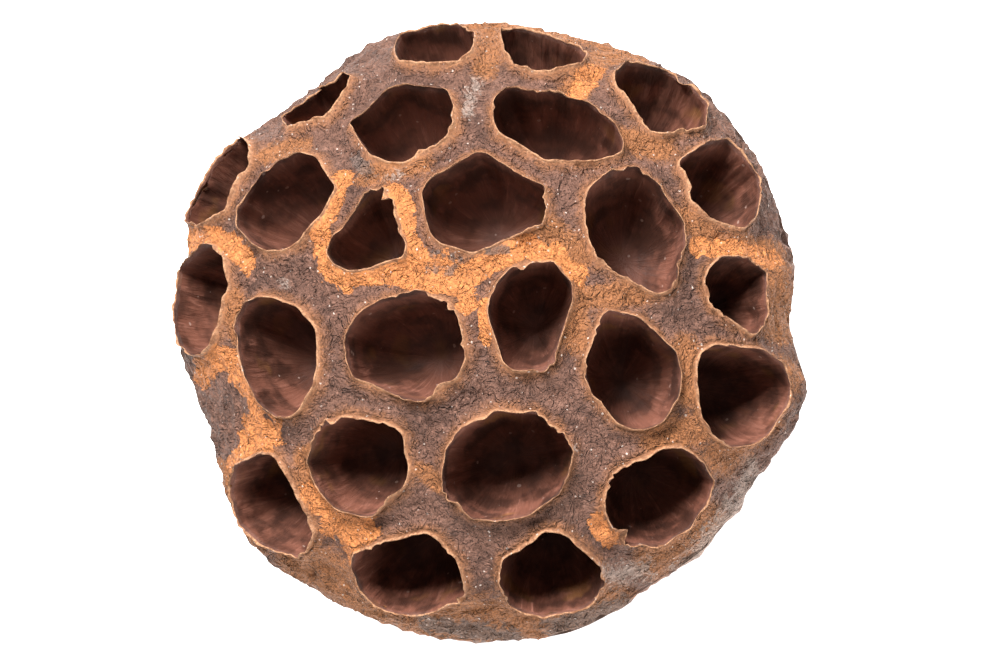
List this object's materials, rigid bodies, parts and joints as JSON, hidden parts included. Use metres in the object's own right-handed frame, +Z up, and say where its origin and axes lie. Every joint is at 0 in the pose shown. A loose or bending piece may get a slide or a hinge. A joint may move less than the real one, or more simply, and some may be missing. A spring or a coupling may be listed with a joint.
{
  "type": "dried lotus seed pod",
  "caption": "Dried lotus seed pod with a domed face of open, empty seed cells over a tapering woody flank; stands on its cut neck",
  "frame": {"origin": "centre of the flat cut face of the neck, on which the pod stands", "axes": "+Z up through the crown of the domed face; +X and +Y lie in the cut face, with the long twin cell of the middle ring toward +X +Y"},
  "size_m": [0.0909, 0.089, 0.062],
  "materials": {
    "pod_skin": "dry and matte, dusky purple-brown, with tan lips round the cells, golden bare patches and red-brown cells"
  },
  "bodies": {
    "root": {"lotus_pod": "pod_skin"}
  },
  "joints": []
}
